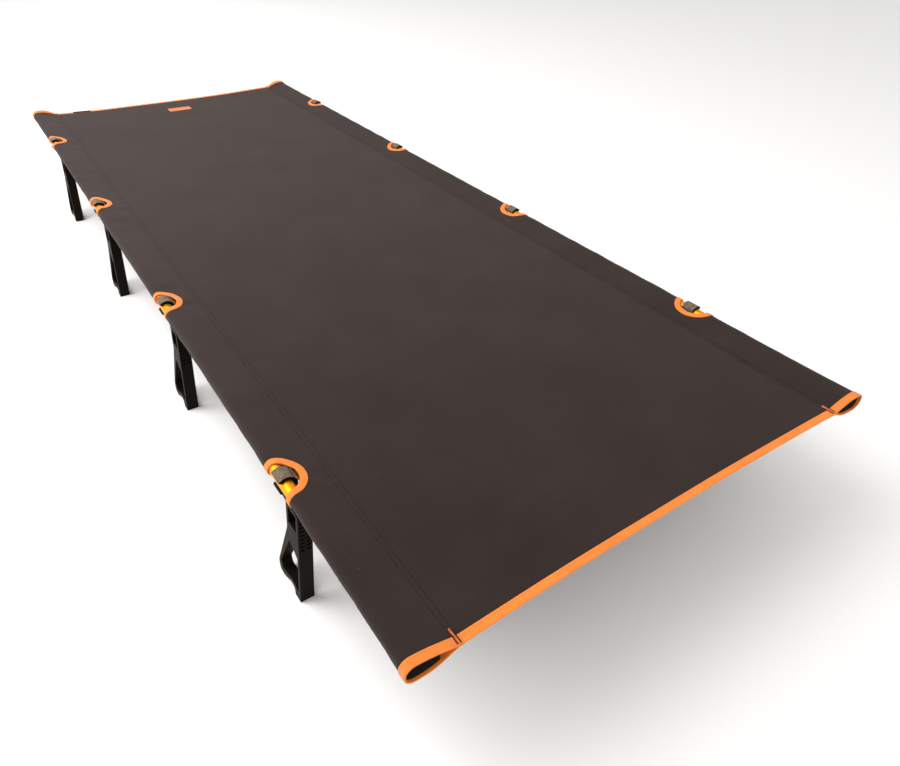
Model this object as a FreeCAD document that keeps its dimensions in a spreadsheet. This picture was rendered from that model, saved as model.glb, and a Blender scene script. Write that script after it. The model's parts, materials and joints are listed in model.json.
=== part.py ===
import FreeCAD, Part
import math
import os
import Sketcher

# Folding cot.  Millimetres, +X to the right, +Y towards the head end, +Z up.
# The origin is on the floor under the middle of the bed.
# Two long poles run through sleeves along the cover's sides.  Four leg sets hold them apart:
# each is a two-part cross bar pinned between two levers that hook round the poles.

SIZES = [
    # cover
    ("bed_length", 1900.0, "hem to hem"),
    ("pole_spacing", 693.0, "between the two pole axes"),
    ("pole_height", 190.0, "pole axis above the floor"),
    ("deck_gauge", 1.5, "thickness of the sleeping surface"),
    ("sleeve_gauge", 1.2, "wall of a pole sleeve"),
    ("sleeve_ease", 0.6, "gap between pole and sleeve"),
    ("seam_offset", 48.5, "pole axis to sleeve seam"),
    ("window_room", 16.0, "from the ends of a hook to the edge of its window"),
    ("window_lead", 3.5, "middle of a window, ahead of the middle of its hook"),
    ("tape_width", 8.0, "binding tape round a window"),
    ("tape_gauge", 0.9, "thickness of that tape"),
    ("hem_width", 10.5, "end webbing on each face"),
    ("hem_gauge", 1.1, "thickness of the end webbing"),
    ("pocket_width", 36.0, "webbing across a pole end"),
    ("pocket_gauge", 1.5, "thickness of that webbing"),
    ("label_width", 60.0, "blank label, across the bed"),
    ("label_depth", 30.0, "blank label, along the bed"),
    ("label_gauge", 0.6, "thickness of label and tab"),
    ("label_inset", 85.0, "head hem to the label"),
    ("tab_width", 44.0, "tab on the head hem"),
    ("tab_place", -237.0, "middle of the tab, across the bed"),
    # side poles
    ("pole_dia", 16.0, "side pole, outside"),
    ("pole_wall", 1.1, "wall of a side pole"),
    ("pole_inset", 4.5, "hem to pole end cap"),
    ("ferrule_length", 90.0, "insert that joins two pole sections"),
    ("ferrule_wall", 1.2, "wall of that insert"),
    ("slip_fit", 0.05, "radial gap of a slip fit"),
    ("cord_dia", 3.0, "shock cord inside the poles"),
    ("cap_flange", 3.0, "length of the cap outside the pole"),
    ("cap_spigot", 12.0, "length of the cap inside the pole"),
    # legs
    ("leg_pitch", 454.0, "from one leg to the next"),
    ("leg_width", 18.5, "front strip of a leg, across the bed"),
    ("foot_out", 12.0, "outer face at the floor, outside the pole axis"),
    ("shoulder_in", 0.5, "outer face at the shoulder, inside the pole axis"),
    ("shoulder_drop", 40.0, "shoulder below the pole axis"),
    ("front_face", 16.0, "straight front face, ahead of the leg station"),
    ("strip_gauge", 5.0, "thickness of the front strip"),
    ("block_back", 16.0, "back of the upper block, behind the station"),
    ("bow_reach", 51.0, "back of the bow, behind the station"),
    ("bow_width", 14.5, "the bow behind the front strip, across the bed"),
    ("bow_gauge", 7.5, "thickness of the bow at its furthest back"),
    ("bow_top", 70.0, "the bow keeps its own width up to here"),
    ("bow_blend", 104.0, "the bow is as wide as the front strip from here"),
    ("toe_lift", 2.0, "rear toe above the floor"),
    ("toe_length", 13.0, "flat of the rear toe"),
    ("notch_height", 10.0, "notch between front foot and rear toe, above the toe"),
    ("loop_top", 102.0, "top of the grip loop, below the pole axis"),
    ("hook_wall", 4.5, "thickness of the hook"),
    ("hook_length", 21.0, "hook, along the pole"),
    ("hook_back", 19.0, "back of the hook, behind the station"),
    ("hinge_fit", 0.05, "radial gap of a hinge"),
    ("mouth_half_angle", 40.0, "half of the hook's open angle"),
    ("neck_in", 13.0, "inner face of the neck, from the pole axis"),
    ("neck_rise", 5.0, "top of the neck above the pole axis"),
    ("cavity_margin", 5.0, "walls left round the recess in the block"),
    ("cavity_depth", 11.0, "depth of that recess"),
    ("cavity_height", 25.0, "height of that recess"),
    ("grip_rows", 8.0, "rows of grip grooves"),
    ("grip_pitch", 6.4, "from one grip groove to the next"),
    ("grip_groove", 2.4, "height of a grip groove"),
    ("grip_depth", 1.4, "depth of a grip groove"),
    # cross bars
    ("pin_drop", 69.0, "clevis pin below the pole axis"),
    ("pin_in", 22.0, "clevis pin inside the pole axis"),
    ("pin_dia", 5.0, "clevis pin"),
    ("pin_head", 1.6, "thickness of a pin head"),
    ("pin_head_dia", 9.0, "diameter of a pin head"),
    ("ear_radius", 8.5, "round end of a clevis ear"),
    ("tongue_gauge", 12.4, "tongue between the ears, along the bed"),
    ("tongue_gap", 0.4, "gap on each side of the tongue"),
    ("tongue_length", 15.0, "clevis pin to the collar"),
    ("collar_length", 5.0, "collar of the end fitting"),
    ("spigot_length", 24.0, "end fitting inside the bar tube"),
    ("bar_dia", 13.0, "cross bar tube, outside"),
    ("bar_wall", 1.0, "wall of a cross bar tube"),
    ("bar_gap", 0.4, "gap between the two tubes in the middle"),
    ("slide_grip", 60.0, "slide insert held in the left tube"),
    ("slide_spare", 14.0, "slide insert left in the tube at full throw"),
    ("release_angle", 50.0, "a lever's swing from locked to open"),
]
LEGS = 4
SIDES = ("left", "right")
ENDS = (("foot", -1), ("head", 1))
POLE_SECTIONS = 4
BIG = 400.0     # longer than any leg piece, for cuts that go right through

doc = FreeCAD.newDocument("folding_cot")
sheet = doc.addObject("Spreadsheet::Sheet", "dims")
for row, (name, number, meaning) in enumerate(SIZES, start=1):
    sheet.set("A%d" % row, meaning)
    sheet.set("B%d" % row, str(number))
    sheet.setAlias("B%d" % row, name)

# Sizes that follow from the ones above.
DERIVED = [
    ("half_span", "=pole_spacing / 2"),
    ("pole_bore", "=pole_dia / 2 - pole_wall"),
    ("pole_length", "=bed_length - 2 * pole_inset - 2 * cap_flange"),
    ("sleeve_inside", "=pole_dia / 2 + sleeve_ease"),
    ("sleeve_outside", "=sleeve_inside + sleeve_gauge"),
    ("cover_length", "=bed_length - 2 * hem_gauge"),
    ("deck_half", "=half_span - seam_offset"),
    ("hook_bore", "=pole_dia / 2 + hinge_fit"),
    ("window_place", "=hook_back - hook_length / 2 - window_lead"),
    ("window_radius", "=hook_length / 2 + window_room"),
    ("hook_outside", "=hook_bore + hook_wall"),
    ("shoulder", "=pole_height - shoulder_drop"),
    ("pin_height", "=pole_height - pin_drop"),
    ("bar_bore", "=bar_dia / 2 - bar_wall"),
    ("bar_start", "=pin_in + tongue_length + collar_length"),
    ("bar_end", "=half_span - bar_gap / 2"),
    ("throw_out", "=pin_drop * sin(release_angle * 1 deg)"),
    ("throw_in", "=pin_in * (1 - cos(release_angle * 1 deg))"),
    ("slide_reach", "=2 * (throw_out + throw_in) + slide_spare"),
]
for row, (name, formula) in enumerate(DERIVED, start=len(SIZES) + 2):
    sheet.set("A%d" % row, "worked out")
    sheet.set("B%d" % row, formula)
    sheet.setAlias("B%d" % row, name)
doc.recompute()

subparts = []


def dim(name):
    """The number that the sheet holds under an alias."""
    number = getattr(sheet, name)
    return float(getattr(number, "Value", number))


def bound(text):
    """An expression in which each alias is read from the sheet."""
    for alias in sorted([s[0] for s in SIZES] + [s[0] for s in DERIVED], key=len, reverse=True):
        text = text.replace("{%s}" % alias, "dims.%s" % alias)
    return text


def tie(thing, **formulas):
    """Bind properties to the sheet; an underscore stands for a dot in a property's name."""
    for key, text in formulas.items():
        thing.setExpression(key.replace("_", "."), bound(text))
    return thing


def keep(thing, label):
    """Count an object as a sub-part, which is then exported under its label."""
    thing.Label = label
    subparts.append(thing)
    return thing


def shape_of(kind, name, **formulas):
    return tie(doc.addObject(kind, name), **formulas)


def box(name, length, width, height, **placement):
    return shape_of("Part::Box", name, Length=length, Width=width, Height=height, **placement)


AXIS_TURN = {
    "x": FreeCAD.Rotation(FreeCAD.Vector(0, 1, 0), 90),
    "y": FreeCAD.Rotation(FreeCAD.Vector(1, 0, 0), -90),
    "z": FreeCAD.Rotation(),
}


def rod(name, axis, radius, height, **placement):
    """A cylinder that starts at its Placement and runs along +X, +Y or +Z."""
    thing = doc.addObject("Part::Cylinder", name)
    thing.Placement = FreeCAD.Placement(FreeCAD.Vector(), AXIS_TURN[axis])
    return tie(thing, Radius=radius, Height=height, **placement)


def cut(name, base, tool):
    thing = doc.addObject("Part::Cut", name)
    thing.Base, thing.Tool = base, tool
    return thing


def common(name, one, other):
    thing = doc.addObject("Part::Common", name)
    thing.Base, thing.Tool = one, other
    return thing


def fuse(name, pieces):
    thing = doc.addObject("Part::MultiFuse", name)
    thing.Shapes = pieces
    return thing


def tube(name, axis, radius, bore, height, **placement):
    outer = rod(name + "_outer", axis, radius, height, **placement)
    inner = rod(name + "_bore", axis, bore, height, **placement)
    return cut(name, outer, inner)


def mirrored(name, source):
    thing = doc.addObject("Part::Mirroring", name)
    thing.Source = source
    thing.Normal = FreeCAD.Vector(1, 0, 0)
    return thing


def placed(label, pieces, **placement):
    """A sub-part that shows other objects at a place of its own."""
    thing = doc.addObject("Part::Compound", "node_" + label)
    thing.Links = pieces
    tie(thing, **placement)
    return keep(thing, label)


# ---------------------------------------------------------------- sketches

def new_body(name):
    return doc.addObject("PartDesign::Body", name)


def sketch_on(body, name, role, offset=None):
    """A sketch on one of its body's origin planes; offset is along the plane's normal."""
    plane = next(f for f in body.Origin.OriginFeatures if f.Role == role)
    sketch = body.newObject("Sketcher::SketchObject", name)
    sketch.AttachmentSupport = [(plane, "")]
    sketch.MapMode = "FlatFace"
    if offset:
        sketch.setExpression("AttachmentOffset.Base.z", bound(offset))
    return sketch


def value_of(text):
    """The number that an expression gives with the sheet's present sizes."""
    return float(sheet.evalExpression(bound(text).replace("dims.", "")))


def drive(sketch, constraint, text):
    """Add a constraint and bind its value to the sheet."""
    index = sketch.addConstraint(constraint)
    sketch.setExpression("Constraints[%d]" % index, bound(text))


def polygon(sketch, corners):
    """A closed outline; each corner is a pair of expressions measured from the origin."""
    points = [FreeCAD.Vector(value_of(a), value_of(b), 0) for a, b in corners]
    count = len(points)
    first = sketch.GeometryCount
    for i in range(count):
        sketch.addGeometry(Part.LineSegment(points[i], points[(i + 1) % count]), False)
    for i in range(count):
        following = first + (i + 1) % count
        sketch.addConstraint(Sketcher.Constraint("Coincident", first + i, 2, following, 1))
    for i, (a, b) in enumerate(corners):
        drive(sketch, Sketcher.Constraint("DistanceX", -1, 1, first + i, 1, points[i].x), a)
        drive(sketch, Sketcher.Constraint("DistanceY", -1, 1, first + i, 1, points[i].y), b)


def circle(sketch, a, b, radius):
    centre = FreeCAD.Vector(value_of(a), value_of(b), 0)
    size = value_of(radius)
    index = sketch.addGeometry(Part.Circle(centre, FreeCAD.Vector(0, 0, 1), size), False)
    drive(sketch, Sketcher.Constraint("DistanceX", -1, 1, index, 3, centre.x), a)
    drive(sketch, Sketcher.Constraint("DistanceY", -1, 1, index, 3, centre.y), b)
    drive(sketch, Sketcher.Constraint("Radius", index, size), radius)


def teardrop(sketch, radius, tail, half_tail):
    """Round the pole and straight to the seam: an arc, two tangent sides and a short end."""
    size, reach, half = value_of(radius), value_of(tail), value_of(half_tail)
    distance = math.hypot(reach, half)
    angle = math.atan2(half, reach) + math.acos(size / distance)
    touch = FreeCAD.Vector(size * math.cos(angle), size * math.sin(angle), 0)
    low_touch = FreeCAD.Vector(touch.x, -touch.y, 0)
    top, low = FreeCAD.Vector(reach, half, 0), FreeCAD.Vector(reach, -half, 0)
    ring = Part.Circle(FreeCAD.Vector(), FreeCAD.Vector(0, 0, 1), size)
    arc = sketch.addGeometry(Part.ArcOfCircle(ring, angle, 2 * math.pi - angle), False)
    upper = sketch.addGeometry(Part.LineSegment(touch, top), False)
    end = sketch.addGeometry(Part.LineSegment(top, low), False)
    lower = sketch.addGeometry(Part.LineSegment(low, low_touch), False)
    sketch.addConstraint(Sketcher.Constraint("Coincident", arc, 3, -1, 1))
    sketch.addConstraint(Sketcher.Constraint("Tangent", arc, 1, upper, 1))
    sketch.addConstraint(Sketcher.Constraint("Coincident", upper, 2, end, 1))
    sketch.addConstraint(Sketcher.Constraint("Coincident", end, 2, lower, 1))
    sketch.addConstraint(Sketcher.Constraint("Tangent", lower, 2, arc, 2))
    drive(sketch, Sketcher.Constraint("Radius", arc, size), radius)
    for line, point, sign, text in ((upper, 2, 1, "({0})"), (end, 2, -1, "-({0})")):
        drive(sketch, Sketcher.Constraint("DistanceX", -1, 1, line, point, reach), tail)
        drive(sketch, Sketcher.Constraint("DistanceY", -1, 1, line, point, sign * half),
              text.format(half_tail))


def pad(body, name, sketch, length):
    """A pad to both sides of its sketch."""
    feature = body.newObject("PartDesign::Pad", name)
    feature.Profile = sketch
    feature.Midplane = True
    feature.setExpression("Length", bound(length))
    doc.recompute()
    return feature


def pocket(body, name, sketch, length, both_sides=True, reverse=False):
    """A pocket that has to take material away."""
    before = body.Shape.Volume
    feature = body.newObject("PartDesign::Pocket", name)
    feature.Profile = sketch
    feature.Midplane = both_sides
    feature.Reversed = reverse
    feature.setExpression("Length", bound(length))
    doc.recompute()
    if not body.Shape.Volume < before:
        raise RuntimeError(name + " cuts nothing")
    return feature


def round_corners(body, feature, name, sketch, corners, radius):
    """Fillet the edges that stand on the numbered corners of a sketch's outline."""
    spots = [sketch.getGlobalPlacement().multVec(sketch.Geometry[i].StartPoint) for i in corners]
    normal = sketch.getGlobalPlacement().Rotation.multVec(FreeCAD.Vector(0, 0, 1))
    chosen = []
    for number, edge in enumerate(feature.Shape.Edges, start=1):
        run = edge.Vertexes[-1].Point - edge.Vertexes[0].Point
        if run.Length < 1 or run.cross(normal).Length > 0.001 * run.Length:
            continue
        foot = [(edge.Vertexes[0].Point - spot).cross(normal).Length for spot in spots]
        if min(foot) < 0.01:
            chosen.append("Edge%d" % number)
    if len(chosen) != len(corners):
        raise RuntimeError("%s found %d edges for %d corners" % (name, len(chosen), len(corners)))
    fillet = body.newObject("PartDesign::Fillet", name)
    fillet.Base = (feature, chosen)
    fillet.Radius = radius
    doc.recompute()
    return fillet


# ---------------------------------------------------------------- places

def station(index):
    """Where a leg stands along the bed; leg 1 is nearest the head."""
    return "({leg_pitch} * %g)" % ((LEGS - 1) / 2 - index)


def side_sign(side):
    return "-1" if side == "left" else "1"


# ---------------------------------------------------------------- cover

def sleeve_prism(name, outlines, length):
    """A length of teardrop section along the bed, centred on the origin, round end outboard."""
    body = new_body(name)
    sketch = sketch_on(body, name + "_outline", "XZ_Plane")
    for outline in outlines:
        teardrop(sketch, *outline)
    pad(body, name + "_pad", sketch, length)
    return body


def sleeve_skin(name, outline, length):
    """A layer on the outside of the sleeve, open at the seam."""
    outer = sleeve_prism(name + "_outer", [outline], length)
    return cut(name, outer, sleeve_prism(name + "_core", [SLEEVE_OUT], length))


SLEEVE_OUT = ("{sleeve_outside}", "{seam_offset}", "{sleeve_gauge}")
SLEEVE_IN = ("{sleeve_inside}", "({seam_offset} - 2 * {sleeve_gauge})", "({sleeve_gauge} / 8)")
TAPE_OUT = ("({sleeve_outside} + {tape_gauge})", "{seam_offset}", "({sleeve_gauge} + {tape_gauge})")
HEM_OUT = ("({sleeve_outside} + {hem_gauge})", "{seam_offset}", "({sleeve_gauge} + {hem_gauge})")


def window_sketch(body, name, radii):
    """Circles round the four leg hooks, centred on the sleeve's outer edge."""
    sketch = sketch_on(body, name, "XY_Plane")
    for leg in range(LEGS):
        for radius in radii:
            circle(sketch, "-{sleeve_outside}", station(leg) + " + {window_place}", radius)
    return sketch


def make_sleeves():
    body = sleeve_prism("sleeve", [SLEEVE_OUT, SLEEVE_IN], "{cover_length}")
    windows = window_sketch(body, "sleeve_windows", ["{window_radius}"])
    pocket(body, "sleeve_window_cut", windows, "4 * {sleeve_outside}")
    return body


def make_window_tapes():
    skin = sleeve_skin("tape_skin", TAPE_OUT, "{cover_length}")
    rings = new_body("tape_rings")
    outlines = window_sketch(rings, "tape_outlines",
                             ["{window_radius}", "({window_radius} + {tape_width})"])
    pad(rings, "tape_ring_pad", outlines, "4 * {sleeve_outside} + 4 * {tape_gauge}")
    return common("window_tape", skin, rings)


def make_hem_ring():
    """The end webbing round one sleeve mouth, with its lip over the sleeve's edge."""
    band = sleeve_skin("hem_band", HEM_OUT, "{hem_width}")
    tie(band, Placement_Base_y="{hem_width} / 2")
    lip = sleeve_prism("hem_lip", [HEM_OUT, SLEEVE_IN], "{hem_gauge}")
    tie(lip, Placement_Base_y="{hem_gauge} / 2")
    return fuse("hem_ring", [band, lip])


def make_hem(end, sleeve_rings, direction):
    """The whole webbing of one end: two sleeve rings, left and right, and the strip across the deck."""
    hem_y = "%d * {bed_length} / 2" % direction
    rings = []
    for side, ring in zip(SIDES, sleeve_rings):
        copy = doc.addObject("Part::Compound", "hem_ring_%s_%s" % (end, side))
        copy.Links = [ring]
        if direction > 0:
            copy.Placement.Rotation = FreeCAD.Rotation(FreeCAD.Vector(0, 0, 1), 180)
        tie(copy, Placement_Base_x=side_sign(side) + " * {half_span}",
            Placement_Base_y=hem_y, Placement_Base_z="{pole_height}")
        rings.append(copy)
    strip_y = hem_y + (" - {hem_width}" if direction > 0 else "")
    strip = box("hem_strip_" + end, "2 * {deck_half}", "{hem_width}",
                "{deck_gauge} + 2 * {hem_gauge}", Placement_Base_x="-{deck_half}",
                Placement_Base_y=strip_y,
                Placement_Base_z="{pole_height} - {deck_gauge} / 2 - {hem_gauge}")
    channel = cut("hem_channel_" + end, strip, doc.getObject("deck"))
    return keep(fuse("hem_" + end, rings + [channel]), "hem_binding_" + end)


def make_pocket():
    """Webbing across a pole end, inside the sleeve."""
    filling = sleeve_prism("pocket_filling", [SLEEVE_IN], "{pocket_gauge}")
    slab = box("pocket_slab", "{pocket_width}", "2 * {pocket_gauge}", "4 * {sleeve_outside}",
               Placement_Base_x="-{pole_dia} / 2", Placement_Base_y="-{pocket_gauge}",
               Placement_Base_z="-2 * {sleeve_outside}")
    return common("pocket_webbing", filling, slab)


def make_cover():
    deck = box("deck", "2 * {deck_half}", "{cover_length}", "{deck_gauge}",
               Placement_Base_x="-{deck_half}", Placement_Base_y="-{cover_length} / 2",
               Placement_Base_z="{pole_height} - {deck_gauge} / 2")
    keep(deck, "cover_deck")
    sleeve, tape, ring = make_sleeves(), make_window_tapes(), make_hem_ring()
    webbing = make_pocket()
    pieces = (sleeve, tape, ring, webbing)
    handed = {"left": pieces, "right": [mirrored(thing.Name + "_mirrored", thing) for thing in pieces]}
    tapes, pockets, rings = [], [], []
    for side in SIDES:
        sleeve, tape, ring, webbing = handed[side]
        rings.append(ring)
        place = dict(Placement_Base_x=side_sign(side) + " * {half_span}",
                     Placement_Base_z="{pole_height}")
        placed("sleeve_" + side, [sleeve], **place)
        copy = doc.addObject("Part::Compound", "tapes_" + side)
        copy.Links = [tape]
        tapes.append(tie(copy, **place))
        for end_name, direction in ENDS:
            copy = doc.addObject("Part::Compound", "pocket_%s_%s" % (side, end_name))
            copy.Links = [webbing]
            end = "%d * ({bed_length} / 2 - {pole_inset} + {pocket_gauge} / 2)" % direction
            pockets.append(tie(copy, Placement_Base_y=end, **place))
    placed("window_bindings", tapes)
    placed("pole_end_pockets", pockets)
    # Turned half round, a left ring closes the right side at the head, and the other way about.
    make_hem("foot", rings, -1)
    make_hem("head", rings[::-1], 1)


def make_labels():
    deck_top = "{pole_height} + {deck_gauge} / 2"
    label = box("label", "{label_width}", "{label_depth}", "{label_gauge}",
                Placement_Base_x="-{label_width} / 2",
                Placement_Base_y="{bed_length} / 2 - {label_inset} - {label_depth}",
                Placement_Base_z=deck_top)
    keep(label, "blank_label")
    tab = box("tab", "{tab_width}", "{hem_width} - {hem_gauge}", "{label_gauge}",
              Placement_Base_x="{tab_place} - {tab_width} / 2",
              Placement_Base_y="{bed_length} / 2 - {hem_width}",
              Placement_Base_z=deck_top + " + {hem_gauge}")
    keep(tab, "head_tab")


# ---------------------------------------------------------------- side poles

def make_poles():
    section = "({pole_length} / %d)" % POLE_SECTIONS
    pole_tube = tube("pole_tube", "y", "{pole_dia} / 2", "{pole_bore}", section)
    insert = tube("pole_insert", "y", "{pole_bore} - {slip_fit}",
                  "{pole_bore} - {slip_fit} - {ferrule_wall}", "{ferrule_length}")
    flange = rod("cap_disc", "y", "{pole_dia} / 2", "{cap_flange}")
    spigot = rod("cap_plug", "y", "{pole_bore} - {slip_fit}", "{cap_spigot}",
                 Placement_Base_y="{cap_flange}")
    cap = fuse("pole_cap", [flange, spigot])
    for side in SIDES:
        place = dict(Placement_Base_x=side_sign(side) + " * {half_span}",
                     Placement_Base_z="{pole_height}")
        for number in range(POLE_SECTIONS):
            low = "{pole_length} / 2 - %d * %s" % (number + 1, section)
            placed("pole_%s_%d" % (side, number + 1), [pole_tube], Placement_Base_y=low, **place)
        inserts, caps = [], []
        for joint in range(1, POLE_SECTIONS):
            copy = doc.addObject("Part::Compound", "insert_%s_%d" % (side, joint))
            copy.Links = [insert]
            low = "{pole_length} / 2 - %d * %s - {ferrule_length} / 2" % (joint, section)
            inserts.append(tie(copy, Placement_Base_y=low, **place))
        for end_name, direction in ENDS:
            copy = doc.addObject("Part::Compound", "cap_%s_%s" % (side, end_name))
            copy.Links = [cap]
            if direction > 0:
                copy.Placement.Rotation = FreeCAD.Rotation(FreeCAD.Vector(0, 0, 1), 180)
            end = "%d * ({pole_length} / 2 + {cap_flange})" % direction
            caps.append(tie(copy, Placement_Base_y=end, **place))
        placed("pole_ferrules_" + side, inserts)
        placed("pole_caps_" + side, caps)
        cord = rod("cord_" + side, "y", "{cord_dia} / 2", "{pole_length} - 2 * {cap_spigot}",
                   Placement_Base_y="-{pole_length} / 2 + {cap_spigot}", **place)
        keep(cord, "shock_cord_" + side)


# ---------------------------------------------------------------- legs

def leg_side_outline(body):
    """The leg seen from the side of the bed: a straight front, a bowed back and a grip loop.

    Plain numbers are millimetres that only shape the curves.
    """
    sketch = sketch_on(body, "leg_side", "YZ_Plane")
    outer = [
        ("-{front_face}", "0"),
        ("0", "0"),
        ("1.5", "{toe_lift} + 0.8 * {notch_height}"),
        ("12", "{toe_lift} + {notch_height}"),
        ("{bow_reach} - {toe_length} - 5", "{toe_lift}"),
        ("{bow_reach} - 5", "{toe_lift}"),
        ("{bow_reach}", "{toe_lift} + 13"),
        ("{block_back}", "{pole_height} - {loop_top} + 19"),
        ("{block_back}", "{shoulder}"),
        ("{hook_back}", "{pole_height} + {hook_outside} + 1"),
        ("{hook_back} - {hook_length}", "{pole_height} + {hook_outside} + 1"),
        ("{hook_back} - {hook_length}", "{shoulder} + 6"),
        ("-{front_face}", "{shoulder}"),
    ]
    inner = [
        ("-{front_face} + {strip_gauge}", "12"),
        ("-1", "{toe_lift} + {notch_height} + 5.5"),
        ("9", "{toe_lift} + {notch_height} + 7.5"),
        ("{bow_reach} - {toe_length} - 12", "{toe_lift} + 11.5"),
        ("{bow_reach} - {toe_length}", "{toe_lift} + 10"),
        ("{bow_reach} - {bow_gauge}", "{toe_lift} + 19"),
        ("{block_back} - 4", "{pole_height} - {loop_top}"),
        ("-{front_face} + {strip_gauge}", "{pole_height} - {loop_top} - 12"),
    ]
    polygon(sketch, outer)
    polygon(sketch, inner)
    return sketch


# Corners of that outline, numbered in order, and the radius that rounds them.
LEG_ROUNDS = [
    ((0, 1), 1.0),
    ((2, 3), 4.0),
    ((13, 14, 15, 16, 17, 19, 20), 3.5),
    ((4, 5), 5.0),
    ((18, 11), 7.0),
    ((6, 7), 14.0),
]


def leg_front_outline(body):
    """The leg seen from the bed's end: a strip that leans in, then a neck beside the pole."""
    sketch = sketch_on(body, "leg_front", "XZ_Plane")
    polygon(sketch, [
        ("-{foot_out}", "0"),
        ("-{foot_out} + {leg_width}", "0"),
        ("{shoulder_in} + {leg_width}", "{shoulder}"),
        ("{neck_in}", "{shoulder} + 12"),
        ("{neck_in}", "{pole_height} + {neck_rise}"),
        ("0", "{pole_height} + {neck_rise}"),
        ("-0.55 * {hook_outside}", "{pole_height} - 0.7 * {hook_outside}"),
        ("{shoulder_in}", "{shoulder}"),
    ])
    return sketch


def leg_blank():
    """Side outline and front outline, each padded right through, have the leg in common."""
    side = new_body("leg_side_body")
    outline = leg_side_outline(side)
    feature = pad(side, "leg_side_pad", outline, "%g" % BIG)
    for number, (corners, radius) in enumerate(LEG_ROUNDS, start=1):
        feature = round_corners(side, feature, "leg_round_%d" % number, outline, corners, radius)
    front = new_body("leg_front_body")
    outline = leg_front_outline(front)
    feature = pad(front, "leg_front_pad", outline, "%g" % BIG)
    round_corners(front, feature, "leg_foot_round", outline, (1,), 3.0)
    hook = rod("hook_disc", "y", "{hook_outside}", "%g" % BIG,
               Placement_Base_y="-%g" % (BIG / 2), Placement_Base_z="{pole_height}")
    lug = box("ear_lug", "{pin_in} - {shoulder_in} - {leg_width} / 2", "%g" % BIG,
              "2 * {ear_radius}", Placement_Base_x="{shoulder_in} + {leg_width} / 2",
              Placement_Base_y="-%g" % (BIG / 2), Placement_Base_z="{pin_height} - {ear_radius}")
    ear = rod("ear_round", "y", "{ear_radius}", "%g" % BIG, Placement_Base_x="{pin_in}",
              Placement_Base_y="-%g" % (BIG / 2), Placement_Base_z="{pin_height}")
    return common("leg_common", side, fuse("leg_front_all", [front, hook, lug, ear]))


def hook_mouth():
    """The open side of the hook, a wedge that widens outwards from the pole axis."""
    body = new_body("hook_mouth")
    sketch = sketch_on(body, "hook_mouth_outline", "XZ_Plane")
    rise = "2 * {hook_outside} * tan({mouth_half_angle} * 1 deg)"
    polygon(sketch, [("0", "{pole_height}"),
                     ("-2 * {hook_outside}", "{pole_height} + " + rise),
                     ("-2 * {hook_outside}", "{pole_height} - " + rise)])
    pad(body, "hook_mouth_pad", sketch, "%g" % BIG)
    return body


def outer_face(height):
    """The leg's outer face at a height, counted inwards from the pole axis."""
    return "-{foot_out} + ({shoulder_in} + {foot_out}) / {shoulder} * " + height


def bow_relief():
    """What is taken off the bow's inner side, so that the front strip stands wider than the bow."""
    body = new_body("bow_relief")
    sketch = sketch_on(body, "bow_relief_outline", "XZ_Plane")
    polygon(sketch, [("-{foot_out} + {bow_width}", "-1"),
                     (outer_face("{bow_top}") + " + {bow_width}", "{bow_top}"),
                     (outer_face("{bow_blend}") + " + {leg_width}", "{bow_blend}"),
                     ("3 * {leg_width}", "{bow_blend}"),
                     ("3 * {leg_width}", "-1")])
    pad(body, "bow_relief_pad", sketch, "%g" % BIG)
    return tie(body, Placement_Base_y="{strip_gauge} - {front_face} + %g" % (BIG / 2))


def grip_grooves():
    """Two columns of short grooves in the front face, which follow the strip's lean."""
    grooves = []
    for row in range(int(dim("grip_rows"))):
        low = "({shoulder} - 14 - %d * {grip_pitch})" % row
        face = outer_face(low)
        for column, start in enumerate(("{leg_width} * 0.12", "{leg_width} * 0.56")):
            grooves.append(box("groove_%d_%d" % (row, column), "{leg_width} * 0.32",
                               "2 * {grip_depth}", "{grip_groove}",
                               Placement_Base_x=face + " + " + start,
                               Placement_Base_y="-{front_face} - {grip_depth}",
                               Placement_Base_z=low))
    return grooves


def make_leg():
    """The left leg; x is counted from the pole axis, inwards."""
    bore = rod("hook_bore_rod", "y", "{hook_bore}", "%g" % BIG,
               Placement_Base_y="-%g" % (BIG / 2), Placement_Base_z="{pole_height}")
    pin_bore = rod("pin_bore_rod", "y", "{pin_dia} / 2 + {slip_fit}", "%g" % BIG,
                   Placement_Base_x="{pin_in}", Placement_Base_y="-%g" % (BIG / 2),
                   Placement_Base_z="{pin_height}")
    slot = box("clevis_slot", "4 * {ear_radius}", "{tongue_gauge} + 2 * {tongue_gap}",
               "3 * {ear_radius}", Placement_Base_x="{pin_in} - {ear_radius} + 1",
               Placement_Base_y="-{tongue_gauge} / 2 - {tongue_gap}",
               Placement_Base_z="{pin_height} - 1.5 * {ear_radius}")
    recess = box("block_recess", "{cavity_depth} + {foot_out}",
                 "{front_face} + {block_back} - 2 * {cavity_margin}", "{cavity_height}",
                 Placement_Base_x="{shoulder_in} - {foot_out}",
                 Placement_Base_y="-{front_face} + {cavity_margin}",
                 Placement_Base_z="{shoulder} - {cavity_margin} - {cavity_height}")
    cuts = fuse("leg_cuts", [bore, hook_mouth(), bow_relief(), pin_bore, slot, recess] + grip_grooves())
    return cut("leg", leg_blank(), cuts)


def make_pin():
    width = "({front_face} + {block_back})"
    shank = rod("pin_shank", "y", "{pin_dia} / 2", width, Placement_Base_y="-{front_face}")
    heads = [rod("pin_head_%d" % end, "y", "{pin_head_dia} / 2", "{pin_head}",
                 Placement_Base_y=place)
             for end, place in enumerate(("-{front_face} - {pin_head}", "{block_back}"))]
    return fuse("clevis_pin", [shank] + heads)


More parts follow.
